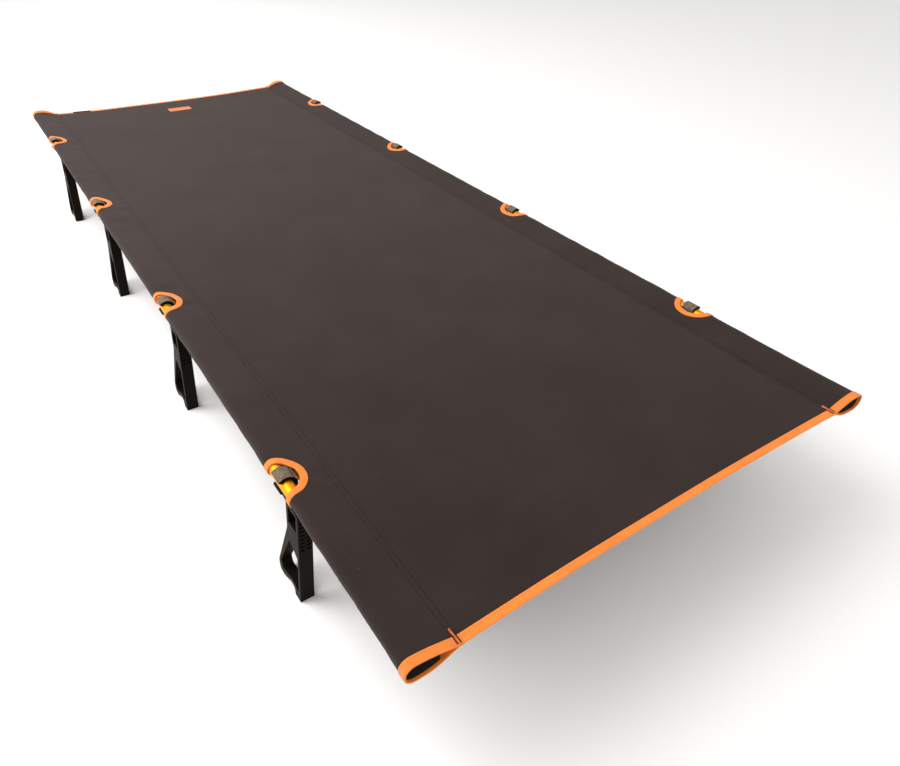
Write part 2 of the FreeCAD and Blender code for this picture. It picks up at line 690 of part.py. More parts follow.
def make_end_fitting():
    """Tongue, collar and spigot at the outer end of a bar; x is counted from the clevis pin."""
    flat = box("tongue_flat", "{tongue_length}", "{tongue_gauge}", "{bar_dia} - 2",
               Placement_Base_y="-{tongue_gauge} / 2", Placement_Base_z="1 - {bar_dia} / 2")
    end = rod("tongue_round", "y", "{bar_dia} / 2 - 1", "{tongue_gauge}",
              Placement_Base_y="-{tongue_gauge} / 2")
    collar = rod("fitting_collar", "x", "{bar_dia} / 2", "{collar_length}",
                 Placement_Base_x="{tongue_length}")
    spigot = rod("fitting_spigot", "x", "{bar_bore} - {slip_fit}", "{spigot_length}",
                 Placement_Base_x="{tongue_length} + {collar_length}")
    hole = rod("fitting_hole", "y", "{pin_dia} / 2 + {hinge_fit}", "2 * {tongue_gauge}",
               Placement_Base_y="-{tongue_gauge}")
    return cut("end_fitting", fuse("fitting_solid", [flat, end, collar, spigot]), hole)


def make_leg_sets():
    leg, pin, fitting = make_leg(), make_pin(), make_end_fitting()
    bar = tube("bar_tube", "x", "{bar_dia} / 2", "{bar_bore}", "{bar_end} - {bar_start}")
    handed = {"left": (leg, fitting, bar),
              "right": [mirrored(thing.Name + "_mirrored", thing) for thing in (leg, fitting, bar)]}
    insert = tube("slide_insert", "x", "{bar_bore} - {hinge_fit}",
                  "{bar_bore} - {hinge_fit} - {ferrule_wall}",
                  "{slide_grip} + {bar_gap} + {slide_reach}")
    for index in range(LEGS):
        number, y = index + 1, station(index)
        for side in SIDES:
            sign = side_sign(side)
            one_leg, one_fitting, one_bar = handed[side]
            name = "%s_%d" % (side, number)
            placed("leg_" + name, [one_leg], Placement_Base_y=y,
                   Placement_Base_x=sign + " * {half_span}")
            at_pin = dict(Placement_Base_x=sign + " * ({half_span} - {pin_in})",
                          Placement_Base_y=y, Placement_Base_z="{pin_height}")
            placed("clevis_pin_" + name, [pin], **at_pin)
            placed("bar_fitting_" + name, [one_fitting], **at_pin)
            placed("bar_tube_" + name, [one_bar], Placement_Base_y=y,
                   Placement_Base_x=sign + " * ({half_span} - {bar_start})",
                   Placement_Base_z="{pin_height}")
        placed("bar_slide_%d" % number, [insert], Placement_Base_y=y,
               Placement_Base_x="-{slide_grip} - {bar_gap} / 2", Placement_Base_z="{pin_height}")


def check_document():
    """Stop on any failed object or any sub-part without a valid solid."""
    doc.recompute()
    for thing in doc.Objects:
        if {"Invalid", "Error"} & set(thing.State):
            raise RuntimeError("%s failed: %s" % (thing.Name, thing.State))
    for thing in subparts:
        if thing.Shape.isNull() or not thing.Shape.isValid() or not thing.Shape.Solids:
            raise RuntimeError(thing.Label + " has no valid solid")


def export_parts():
    os.makedirs("parts", exist_ok=True)
    for thing in subparts:
        thing.Shape.exportStep("parts/%s.step" % thing.Label)
        print("%-22s %2d solids %12.1f mm3" % (thing.Label, len(thing.Shape.Solids), thing.Shape.Volume))


make_cover()
make_labels()
make_poles()
make_leg_sets()
check_document()
export_parts()
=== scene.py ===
"""Looks of a folding camp cot: its sewn cover, webbing, tape and stitching, and every finish."""

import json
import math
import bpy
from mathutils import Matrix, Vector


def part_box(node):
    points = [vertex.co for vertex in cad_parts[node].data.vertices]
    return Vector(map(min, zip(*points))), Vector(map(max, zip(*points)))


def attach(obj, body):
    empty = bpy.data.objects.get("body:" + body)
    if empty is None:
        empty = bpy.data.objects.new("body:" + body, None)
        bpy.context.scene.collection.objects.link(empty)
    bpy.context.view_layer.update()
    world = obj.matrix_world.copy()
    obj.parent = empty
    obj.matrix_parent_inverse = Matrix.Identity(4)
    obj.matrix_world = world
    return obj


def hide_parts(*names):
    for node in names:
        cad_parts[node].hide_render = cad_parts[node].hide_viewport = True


bl_info = {
    "name": "Folding Cot",
    "version": (1, 0, 0),
    "blender": (4, 5, 0),
    "location": "3D View > Sidebar > Cot",
    "description": "Sews the cover of a take-down camp cot onto its packed frame and finishes every part",
    "category": "Object",
}

import bpy
import numpy as np
from bpy.props import FloatProperty, FloatVectorProperty, PointerProperty, StringProperty
from mathutils import Matrix, Vector

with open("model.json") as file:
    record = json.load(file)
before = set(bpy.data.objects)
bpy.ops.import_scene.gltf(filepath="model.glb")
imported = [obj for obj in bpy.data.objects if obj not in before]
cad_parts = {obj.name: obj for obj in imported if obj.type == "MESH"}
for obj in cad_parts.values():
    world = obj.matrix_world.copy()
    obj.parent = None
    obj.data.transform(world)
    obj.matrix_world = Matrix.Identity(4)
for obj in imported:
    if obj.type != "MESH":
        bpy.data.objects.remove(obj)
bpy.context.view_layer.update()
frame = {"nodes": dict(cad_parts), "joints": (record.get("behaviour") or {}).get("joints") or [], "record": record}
MM = 0.001

# ---------------------------------------------------------------- places, from the frame

POLE_LOW, POLE_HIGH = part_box("pole_right_1")
HEM_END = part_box("hem_binding_head")[1].y
SEAM_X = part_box("cover_deck")[1].x
POLE_X = (POLE_LOW.x + POLE_HIGH.x) / 2
POLE_Z = (POLE_LOW.z + POLE_HIGH.z) / 2
POLE_R = (POLE_HIGH.z - POLE_LOW.z) / 2
STATIONS = sorted(j["pos_m"][1] for j in frame["joints"] if j["name"].startswith("lever_swing_left"))
WINDOW_LOW, WINDOW_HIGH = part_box("window_bindings")
TAPE_OUTSIDE = (WINDOW_HIGH.y - WINDOW_LOW.y - STATIONS[-1] + STATIONS[0]) / 2
WINDOWS = [y + WINDOW_HIGH.y - TAPE_OUTSIDE - STATIONS[-1] for y in STATIONS]
ENDS = (("foot", -1), ("head", 1))
SIDES = (("left", -1), ("right", 1))


# ---------------------------------------------------------------- sizes and colours a user sets

def length(name, default, description):
    return FloatProperty(name=name, description=description, default=default, min=0.0,
                         unit="LENGTH", precision=5)


def colour(name, default, description):
    return StringProperty(name=name, description=description, default=default)


class CotCoverSettings(bpy.types.PropertyGroup):
    """Sizes and colours of the sewn cover."""
    cloth_gauge: length("Cloth", 0.6 * MM, "Thickness of the woven cloth")
    sleeve_ease: length("Sleeve ease", 0.9 * MM, "Gap between a pole and the cloth round it")
    allowance: length("Seam allowance", 14 * MM, "Cloth left inside each sleeve seam, under the deck")
    mouth_droop: length("Mouth droop", 6.5 * MM, "How far the lower half of a sleeve hangs at its mouth")
    mouth_rise: length("Mouth rise", 2.5 * MM, "How far the upper half of a sleeve stands up at its mouth")
    mouth_flare: length("Mouth flare", 4.5 * MM, "How far the head end's mouths turn up at their edge")
    mouth_spread: length("Mouth spread", 6.0 * MM, "How far the right foot mouth stands out")
    hem_bow: length("Hem bow", 6.5 * MM, "How far the middle of each end is drawn in")
    sag: length("Sag", 3.0 * MM, "How far the middle of the deck hangs")
    thread_pitch: length("Thread pitch", 0.5 * MM, "From one thread of the weave to the next")
    seam_gap: length("Seam rows", 6.5 * MM, "Between the two rows of each sleeve seam")
    stitch: length("Stitch", 3.6 * MM, "Length of one seam stitch")
    cloth_colour: colour("Cloth colour", "#281E1B", "Dyed polyester, sRGB")
    thread_colour: colour("Thread colour", "#120F0D", "Seam thread, sRGB")


class CotTrimSettings(bpy.types.PropertyGroup):
    """Sizes and colours of the tape, webbing and labels."""
    tape_width: length("Tape width", 8 * MM, "Binding tape on each face round a leg window")
    tape_gauge: length("Tape", 0.9 * MM, "Thickness of the binding tape")
    hem_width: length("Webbing width", 9.8 * MM, "End webbing on each face")
    hem_gauge: length("Webbing", 0.7 * MM, "Thickness of the end webbing")
    rib_pitch: length("Rib pitch", 1.1 * MM, "From one rib of the webbing to the next")
    stitch: length("Stitch", 3.0 * MM, "Length of one stitch in the trim")
    trim_colour: colour("Trim colour", "#EC8027", "Orange webbing and tape, sRGB")
    label_colour: colour("Label colour", "#DC7436", "Woven label, sRGB")
    tack_colour: colour("Bar tack colour", "#EE8A58", "Thread of the bar tacks, sRGB")
    black_colour: colour("Black colour", "#0A0806", "Black webbing, sRGB")


class CotFrameSettings(bpy.types.PropertyGroup):
    """Colours of the poles, legs and small parts."""
    gold_colour: colour("Gold", "#F79E14", "Anodised tube, sRGB")
    metal_colour: colour("Bare metal", "#B9BABD", "Drawn inserts, sRGB")
    plastic_colour: colour("Plastic", "#0F0803", "Moulded nylon, sRGB")
    # The lighter tone on the hooks' upward faces: painted top light, mixed with scuffs.
    lit_and_scuffed_colour: colour("Rubbed plastic", "#776859", "Moulded nylon where cloth and hands rub it, sRGB")
    cord_colour: colour("Cord", "#E4E0D6", "Braided cover of the elastic cord, sRGB")


class CotStageSettings(bpy.types.PropertyGroup):
    """Camera, floor and lights."""
    eye: FloatVectorProperty(name="Eye", description="Where the camera stands", subtype="TRANSLATION",
                             unit="LENGTH", default=(-0.511, -1.220, 0.742))
    aim: FloatVectorProperty(name="Aim", description="What the middle of the view is on",
                             subtype="TRANSLATION", unit="LENGTH", default=(-0.0857, -0.6237, 0.190))
    roll: FloatProperty(name="Roll", description="Turn of the camera about its view", subtype="ANGLE",
                        default=math.radians(1.74))
    lens: FloatProperty(name="Lens", description="Focal length on a 36 mm wide frame",
                        subtype="DISTANCE_CAMERA", default=27.17)
    floor_colour: colour("Floor", "#F4F3F1", "Pale studio floor, sRGB")


SETTINGS = (("cot_cover", CotCoverSettings), ("cot_trim", CotTrimSettings),
            ("cot_frame", CotFrameSettings), ("cot_stage", CotStageSettings))


# ---------------------------------------------------------------- materials

def linear(hex_colour):
    """An sRGB hex colour as linear RGBA."""
    values = [int(hex_colour[i:i + 2], 16) / 255 for i in (1, 3, 5)]
    return [v / 12.92 if v <= 0.04045 else ((v + 0.055) / 1.055) ** 2.4 for v in values] + [1.0]


def shade(hex_colour, factor):
    return [v * factor for v in linear(hex_colour)[:3]] + [1.0]


def add_node(tree, kind, settings=None, **links):
    """Add a node, set its properties and sockets, and link its inputs.

    Keys of settings are property names, or socket names where no property has that name.
    """
    node = tree.nodes.new(kind)
    for key, value in (settings or {}).items():
        if hasattr(node, key):
            setattr(node, key, value)
        else:
            node.inputs[key].default_value = value
    for key, source in links.items():
        socket = node.inputs[int(key[1:])] if key[1:].isdigit() else node.inputs[key.replace("_", " ")]
        tree.links.new(source, socket)
    return node


def new_material(name, **principled):
    """A material with one Principled shader; the keywords are its socket values."""
    material = bpy.data.materials.new(name)
    material.use_nodes = True
    tree = material.node_tree
    shader = tree.nodes["Principled BSDF"]
    for key, value in principled.items():
        shader.inputs[key.replace("_", " ")].default_value = value
    return tree, shader


def bump(tree, shader, height, distance, strength):
    node = add_node(tree, "ShaderNodeBump", {"Strength": strength, "Distance": distance}, Height=height)
    tree.links.new(node.outputs["Normal"], shader.inputs["Normal"])


def blend(tree, factor, dark, light):
    """Between two tones by a factor socket; dark may be a socket too."""
    mix = add_node(tree, "ShaderNodeMix", {"data_type": "RGBA"}, _0=factor)
    if isinstance(dark, bpy.types.NodeSocket):
        tree.links.new(dark, mix.inputs[6])
    else:
        mix.inputs[6].default_value = dark
    mix.inputs[7].default_value = light
    return mix.outputs[2]


def two_tone(tree, shader, factor, dark, light):
    """Base colour between two tones, by a factor socket."""
    tree.links.new(blend(tree, factor, dark, light), shader.inputs["Base Color"])


def object_place(tree):
    return add_node(tree, "ShaderNodeTexCoord").outputs["Object"]


def noise(tree, place, scale, detail, **more):
    """A noise's value; the scale is in repeats a metre."""
    settings = {"Scale": scale, "Detail": detail, **more}
    return add_node(tree, "ShaderNodeTexNoise", settings, Vector=place).outputs["Fac"]


def stripes(tree, place, direction, distortion, detail):
    """Wavy stripes in one direction."""
    settings = {"wave_type": "BANDS", "bands_direction": direction, "Scale": 0.5,
                "Distortion": distortion, "Detail": detail}
    return add_node(tree, "ShaderNodeTexWave", settings, Vector=place).outputs["Fac"]


def remap(tree, value, low, high, to_low=0.0, to_high=1.0):
    settings = {"From Min": low, "From Max": high, "To Min": to_low, "To Max": to_high}
    return add_node(tree, "ShaderNodeMapRange", settings, Value=value).outputs[0]


def product(tree, one, other):
    return add_node(tree, "ShaderNodeMath", {"operation": "MULTIPLY"}, _0=one, _1=other).outputs[0]


def drawn_lines(tree, scale):
    """Noise drawn out along a tube; the scale is in repeats a metre along x, y and z."""
    place = add_node(tree, "ShaderNodeMapping", {"Scale": scale}, Vector=object_place(tree))
    return noise(tree, place.outputs[0], 1.0, 3.0)


def cut_coordinates(tree, pitch_u, pitch_v):
    """Coordinates that count repeats of a pattern along and across the cut cloth."""
    place = add_node(tree, "ShaderNodeUVMap", {"uv_map": "cut"})
    return add_node(tree, "ShaderNodeMapping", {"Scale": (1 / pitch_u, 1 / pitch_v, 1)},
                    Vector=place.outputs["UV"]).outputs["Vector"]


def woven_polyester(cover):
    """Plain-woven polyester, dyed and coated: matt with a faint sheen, small slubs and dusty clouds."""
    tree, shader = new_material("woven_polyester", Roughness=0.85, Specular_IOR_Level=0.15,
                                Sheen_Weight=0.12, Sheen_Roughness=0.5, Sheen_Tint=linear("#DCC8C4"))
    # Three pitches a step draw the threads about twice as coarse as they are, so that they show.
    pitch = cover.thread_pitch * 3
    threads = cut_coordinates(tree, pitch, pitch)
    weave = product(tree, stripes(tree, threads, "X", 0.6, 1.0), stripes(tree, threads, "Y", 0.6, 1.0))
    metres = cut_coordinates(tree, 1.0, 1.0)
    clouds = noise(tree, metres, 7.0, 6.0, Roughness=0.62)
    slubs = noise(tree, metres, 900.0, 2.0)
    tone = remap(tree, product(tree, clouds, slubs), 0.12, 0.40)
    dyed = blend(tree, tone, shade(cover.cloth_colour, 0.72), shade(cover.cloth_colour, 1.24))
    # Lint: pale flecks about a millimetre across, some 20 mm apart.
    flecks = add_node(tree, "ShaderNodeTexVoronoi", {"Scale": 1 / (20 * MM)}, Vector=metres)
    lint = remap(tree, flecks.outputs["Distance"], 0.015, 0.035, 0.3, 0.0)
    two_tone(tree, shader, lint, dyed, linear("#8C8480"))
    height = add_node(tree, "ShaderNodeMath", {"operation": "ADD"}, _0=weave, _1=slubs)
    bump(tree, shader, height.outputs[0], 0.25 * MM, 0.55)


def ribbed_webbing(name, base, pitch, shine=0.4):
    """Polyester webbing: slanting ribs with a little shine on each, and painted shade that darkens the colour
    between them.
    """
    tree, shader = new_material(name, Roughness=0.95 - 0.8 * shine, Specular_IOR_Level=shine,
                                Sheen_Weight=shine * 0.3, Sheen_Roughness=0.4)
    ribs = stripes(tree, cut_coordinates(tree, pitch, pitch * 1.6), "DIAGONAL", 1.2, 1.5)
    wear = noise(tree, cut_coordinates(tree, 1.0, 1.0), 60.0, 5.0, Roughness=0.6)
    # The ribs darken the colour in the grooves between them, a painted shade, mixed with random wear.
    tone = add_node(tree, "ShaderNodeMath", {"operation": "MULTIPLY_ADD"}, _0=ribs, _2=wear)
    tone.inputs[1].default_value = 0.7
    spread = remap(tree, tone.outputs[0], 0.35, 1.15)
    two_tone(tree, shader, spread, shade(base, 0.66), shade(base, 1.1))
    bump(tree, shader, ribs, 0.35 * MM, 0.6)


def spun_thread(name, base):
    """Bonded polyester thread: two plies twisted together, with a soft shine."""
    tree, shader = new_material(name, Roughness=0.6, Specular_IOR_Level=0.2)
    # The plies show as light and dark turns, some 9 mm apart along a seam.
    settings = {"bands_direction": "DIAGONAL", "Scale": 1 / (14 * MM)}
    plies = add_node(tree, "ShaderNodeTexWave", settings, Vector=object_place(tree)).outputs["Fac"]
    two_tone(tree, shader, plies, shade(base, 0.8), shade(base, 1.1))
    bump(tree, shader, plies, 0.1 * MM, 0.4)


def anodised_aluminium(base):
    """Drawn 7000-series tube, dyed gold: clear warm metal with fine lines along the draw."""
    tree, shader = new_material("gold_anodised_tube", Metallic=1.0)
    lines = drawn_lines(tree, (900.0, 25.0, 900.0))
    two_tone(tree, shader, lines, shade(base, 0.85), shade(base, 1.1))
    tree.links.new(remap(tree, lines, 0.0, 1.0, 0.38, 0.56), shader.inputs["Roughness"])
    bump(tree, shader, lines, 0.05 * MM, 0.25)


def drawn_aluminium(base):
    """Mill-finish tube: pale grey, with fine lines along the draw."""
    tree, shader = new_material("drawn_aluminium", Metallic=1.0, Roughness=0.38)
    lines = drawn_lines(tree, (25.0, 900.0, 900.0))
    two_tone(tree, shader, lines, shade(base, 0.8), shade(base, 1.1))
    bump(tree, shader, lines, 0.05 * MM, 0.3)


def rivet_steel():
    """Zinc-plated steel: cool grey with cloudy plating."""
    tree, shader = new_material("zinc_plated_steel", Metallic=1.0, Roughness=0.35)
    clouds = noise(tree, object_place(tree), 350.0, 4.0)
    two_tone(tree, shader, clouds, shade("#8E9092", 0.8), shade("#C4C6C8", 1.0))
    bump(tree, shader, clouds, 0.05 * MM, 0.2)


def moulded_nylon(base, lit_and_scuffed):
    """Glass-filled nylon from a spark-eroded mould: nearly black, with painted top light and scuffs on the hooks'
    tops.
    """
    tree, shader = new_material("leg_nylon", Roughness=0.5, Specular_IOR_Level=0.06)
    place = add_node(tree, "ShaderNodeTexCoord")
    grain = noise(tree, place.outputs["Object"], 1400.0, 2.0)
    flow = noise(tree, place.outputs["Object"], 45.0, 4.0, Distortion=0.8)
    scuffs = noise(tree, place.outputs["Object"], 260.0, 6.0, Roughness=0.7)
    # Painted top light, mixed with scuffs where the cover drags, lightens faces that look up and lie above the
    # poles' axis.
    height = add_node(tree, "ShaderNodeSeparateXYZ", Vector=place.outputs["Object"]).outputs["Z"]
    facing = add_node(tree, "ShaderNodeSeparateXYZ", Vector=place.outputs["Normal"]).outputs["Z"]
    above = remap(tree, height, POLE_Z, POLE_Z + POLE_R / 2)
    top_lit_faces = product(tree, above, remap(tree, facing, 0.2, 0.8))
    top_light_and_scuffs = product(tree, top_lit_faces, remap(tree, scuffs, 0.2, 0.6))
    clean = blend(tree, flow, shade(base, 0.75), shade(base, 1.5))
    two_tone(tree, shader, top_light_and_scuffs, clean, linear(lit_and_scuffed))
    tree.links.new(remap(tree, flow, 0.0, 1.0, 0.42, 0.62), shader.inputs["Roughness"])
    bump(tree, shader, grain, 0.12 * MM, 0.35)


def braided_cord(base):
    """Rubber cord in a braided polyester cover."""
    tree, shader = new_material("braided_cord", Roughness=0.75, Sheen_Weight=0.2)
    checks = add_node(tree, "ShaderNodeTexChecker", {"Scale": 900.0}, Vector=object_place(tree))
    braid = checks.outputs["Fac"]
    two_tone(tree, shader, braid, shade(base, 0.7), shade(base, 1.0))
    bump(tree, shader, braid, 0.2 * MM, 0.5)


def studio_floor(base):
    """Seamless painted board: matt, pale, with the faintest roller texture."""
    tree, shader = new_material("painted_board", Roughness=0.75, Specular_IOR_Level=0.2)
    roller = noise(tree, object_place(tree), 260.0, 2.0)
    two_tone(tree, shader, roller, shade(base, 0.985), shade(base, 1.0))
    bump(tree, shader, roller, 0.05 * MM, 0.1)


# ---------------------------------------------------------------- the cover as a shape

HALVINGS = 40  # steps of the search for a distance on the cut


class Section:
    """The cover's cross-section, one path from the middle of the bed round a pole and back under.

    A distance s along the cloth is counted from the middle, positive to the right.
    """

    def __init__(self, cover):
        self.gauge = cover.cloth_gauge
        self.radius = POLE_R + cover.sleeve_ease + self.gauge / 2
        reach = POLE_X - SEAM_X
        self.side = math.sqrt(reach ** 2 - self.radius ** 2)
        self.turn = math.acos(self.radius / reach)
        self.arc = self.radius * 2 * (math.pi - self.turn)
        self.seam = SEAM_X
        self.touch = self.seam + self.side
        self.fold = self.touch + self.arc / 2
        self.leave = self.touch + self.arc
        self.end = self.leave + self.side
        self.cut = self.end + cover.allowance
        self.sag = cover.sag

    def inset(self, away):
        """How far inside the sleeve's outer edge, seen from above, a point lies; away from the fold."""
        half = self.arc / 2
        bend = self.radius * (1 - np.cos(np.minimum(away, half) / self.radius))
        return bend + np.maximum(away - half, 0) * self.side / (POLE_X - self.seam)

    def reach(self, angle, radius):
        """Distance on the cut, at an angle from across, to what is a circle when seen from above."""
        low, high = np.zeros(np.shape(angle)), np.full(np.shape(angle), 3.0) * radius
        for _ in range(HALVINGS):
            middle = (low + high) / 2
            beyond = np.hypot(self.inset(np.abs(middle * np.cos(angle))), middle * np.sin(angle)) > radius
            low, high = np.where(beyond, low, middle), np.where(beyond, middle, high)
        return low

    def place(self, s):
        """x, z and the outward normal's x, z for an array of distances."""
        away, sign = np.abs(s), np.where(s < 0, -1.0, 1.0)
        angle = (math.pi - self.turn) - np.clip(away - self.touch, 0, self.arc) / self.radius
        touch_x, touch_z = math.cos(math.pi - self.turn), math.sin(math.pi - self.turn)
        deck, upper, bend, lower = (away <= self.seam, away <= self.touch, away <= self.leave,
                                    away <= self.end)
        rise = (away - self.seam) / self.side
        drop = (away - self.leave) / self.side
        top_x = POLE_X + self.radius * touch_x
        top_z = self.radius * touch_z
        under = -1.6 * self.gauge
        slack = self.sag * (1 - (np.minimum(away, self.seam) / self.seam) ** 2)
        x = np.select([deck, upper, bend, lower],
                      [away, self.seam + rise * (top_x - self.seam), POLE_X + self.radius * np.cos(angle),
                       top_x + drop * (self.seam - top_x)], self.seam - (away - self.end))
        z = np.select([deck, upper, bend, lower],
                      [-slack, rise * top_z, self.radius * np.sin(angle), -top_z + drop * (top_z + under)],
                      under + 0 * away)
        nx = np.select([deck, upper, bend, lower],
                       [0 * away, touch_x + 0 * away, np.cos(angle), touch_x + 0 * away], 0.0)
        nz = np.select([deck, upper, bend, lower],
                       [1 + 0 * away, touch_z + 0 * away, np.sin(angle), -touch_z + 0 * away], -1.0)
        return sign * x, POLE_Z + z, sign * nx, nz


def waves(u, v, wavelength, seed, count=7):
    """Smooth random ripples between about -1 and 1, from crossing sine waves."""
    draw = np.random.default_rng(seed)
    total = np.zeros(np.broadcast(u, v).shape)
    for _ in range(count):
        heading, phase = draw.uniform(0, math.pi), draw.uniform(0, 2 * math.pi)
        pitch = wavelength * draw.uniform(0.7, 1.6)
        total += np.sin(2 * math.pi * (u * math.cos(heading) + v * math.sin(heading)) / pitch + phase)
    return total / math.sqrt(count)


class Cloth:
    """Maps the flat cut, s across and y along, to the sewn and stretched cover."""

    def __init__(self, cover):
        self.section = Section(cover)
        self.droop, self.rise, self.flare = cover.mouth_droop, cover.mouth_rise, cover.mouth_flare
        self.spread, self.bow = cover.mouth_spread, cover.hem_bow

    def lift(self, s, y):
        """Small puckers and ripples along the normal, as stretched cloth has."""
        away = np.abs(s)
        seam = np.exp(-((away - self.section.seam) / (11 * MM)) ** 2)
        total = 0.22 * MM * seam * waves(y, 0 * s, 13 * MM, 3)
        total += 0.35 * MM * waves(s, y, 210 * MM, 5) * (away < self.section.seam)
        rim = np.clip((self.section.leave - away) / (6 * MM), 0, 1)
        total += 0.25 * MM * rim * (away > self.section.seam) * waves(y, 0.4 * s, 38 * MM, 9)
        for centre in WINDOWS:
            across, along = away - self.section.fold, y - centre
            reach = np.hypot(across, along)
            fade = np.exp(-np.maximum(reach - 34 * MM, 0) / (16 * MM))
            total += 0.28 * MM * fade * np.cos(9 * np.arctan2(along, across) + 2.0 * centre / MM)
        total = np.where(away > self.section.leave, 0.4, 1.0) * total
        fold, seam, end = self.section.fold, self.section.seam, self.section.end
        near_end = np.exp(-((HEM_END - np.abs(y)) / (42 * MM)) ** 1.5)
        hang = np.sin(math.pi * np.clip((away - fold) / (end - fold), 0, 1)) ** 1.3
        stand = np.sin(math.pi * np.clip((away - seam) / (fold - seam), 0, 1)) ** 1.3
        head_edge = np.exp(-((HEM_END - y) / (10 * MM)) ** 2)
        return total + near_end * (self.droop * hang + self.rise * stand) + head_edge * self.flare * stand

    def spread_out(self, s, y):
        """How far the fold of the right sleeve stands out past the pole at the foot end."""
        foot_edge = np.exp(-((HEM_END + y) / (26 * MM)) ** 2) * (s > 0)
        return self.spread * foot_edge * np.exp(-((s - self.section.fold) / (20 * MM)) ** 2)

    def drawn_in(self, s, y):
        """How far a point lies nearer the middle of the bed, as the ends bow between the seams."""
        middle = np.clip(1 - (s / self.section.seam) ** 2, 0, None)
        return self.bow * middle * np.clip(1 - (HEM_END - np.abs(y)) / (160 * MM), 0, 1) ** 2

    def mouth(self, x, y, sign):
        """Heights of the upper and lower half of a sleeve at distances x inboard of the pole axis."""
        heights = []
        for first, last in ((self.section.seam, self.section.fold), (self.section.fold, self.section.end)):
            path = self.at(sign * np.linspace(first, last, 80), y)
            inboard = POLE_X - sign * path[:, 0]
            order = np.argsort(inboard)
            heights.append(np.interp(x, inboard[order], path[order, 2]))
        return heights

    def at(self, s, y, off=0.0):
        """Points in the row frame, off along the cloth's outward normal."""
        s, y, off = np.broadcast_arrays(np.asarray(s, float), np.asarray(y, float), np.asarray(off, float))
        x, z, nx, nz = self.section.place(s)
        out = off + self.lift(s, y)
        wide = self.spread_out(s, y)
        return np.stack([x + nx * out + wide, y - np.sign(y) * self.drawn_in(s, y),
                         z + nz * out - wide / 2], -1)


# ---------------------------------------------------------------- mesh helpers

def new_object(name, points, faces, cut=None, smooth=True):
    """A mesh object; cut holds each point's place on the flat cloth, in metres."""
    mesh = bpy.data.meshes.new(name)
    mesh.from_pydata([tuple(p) for p in points], [], faces)
    mesh.validate()
    if cut is not None:
        layer = mesh.uv_layers.new(name="cut")
        corner = np.zeros(len(mesh.loops), dtype=np.int32)
        mesh.loops.foreach_get("vertex_index", corner)
        layer.data.foreach_set("uv", np.asarray(cut, np.float32)[corner].ravel())
    mesh.polygons.foreach_set("use_smooth", [smooth] * len(mesh.polygons))
    mesh.update()
    thing = bpy.data.objects.new(name, mesh)
    bpy.context.scene.collection.objects.link(thing)
    return thing


def give(thing, material):
    """Put on the material of that name, made by an operator before."""
    thing.data.materials.clear()
    thing.data.materials.append(bpy.data.materials[material])


def settle(thing, slot, *nodes):
    """Every sewn piece rides on the root body and stands for its CAD nodes."""
    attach(thing, "root")
    if nodes:
        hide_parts(*nodes)
    return thing


def ring_faces(rows, columns, closed_rows, closed_columns):
    """Quads over a grid of points numbered row by row."""
    faces = []
    for i in range(rows if closed_rows else rows - 1):
        for j in range(columns if closed_columns else columns - 1):
            a, b = i * columns + j, i * columns + (j + 1) % columns
            c, d = ((i + 1) % rows) * columns + (j + 1) % columns, ((i + 1) % rows) * columns + j
            faces.append((a, b, c, d))
    return faces


def spaced(*spans):
    """Grid lines over joined spans, each given as start, end and the largest spacing."""
    lines = []
    for start, end, spacing in spans:
        count = max(1, math.ceil((end - start) / spacing - 1e-6))
        lines.extend(start + (end - start) * k / count for k in range(count))
    return np.array(lines + [spans[-1][1]])


# ---------------------------------------------------------------- the cover sheet

PATCH_HALF = 44 * MM
PATCH_CELLS = 32
PATCH_RINGS = 6


def across_lines(section):
    """Grid lines across the cut, finer at the seams and round the poles."""
    patch_in, patch_out = section.fold - PATCH_HALF, section.fold + PATCH_HALF
    half = spaced((0, section.seam - 9 * MM, 12 * MM),
                  (section.seam - 9 * MM, section.seam + 9 * MM, 2 * MM),
                  (section.seam + 9 * MM, patch_in, 4 * MM),
                  (patch_in, patch_out, 2 * PATCH_HALF / PATCH_CELLS),
                  (patch_out, section.end, 4 * MM),
                  (section.end, section.cut, 4 * MM))
    return np.concatenate([-half[:0:-1], half])


def along_lines(end):
    """Grid lines along the cut, finer at the leg windows."""
    spans, low = [], -end
    for centre in WINDOWS:
        spans.append((low, centre - PATCH_HALF, 12 * MM))
        spans.append((centre - PATCH_HALF, centre + PATCH_HALF, 2 * PATCH_HALF / PATCH_CELLS))
        low = centre + PATCH_HALF
    spans.append((low, end, 12 * MM))
    return spaced(*spans)


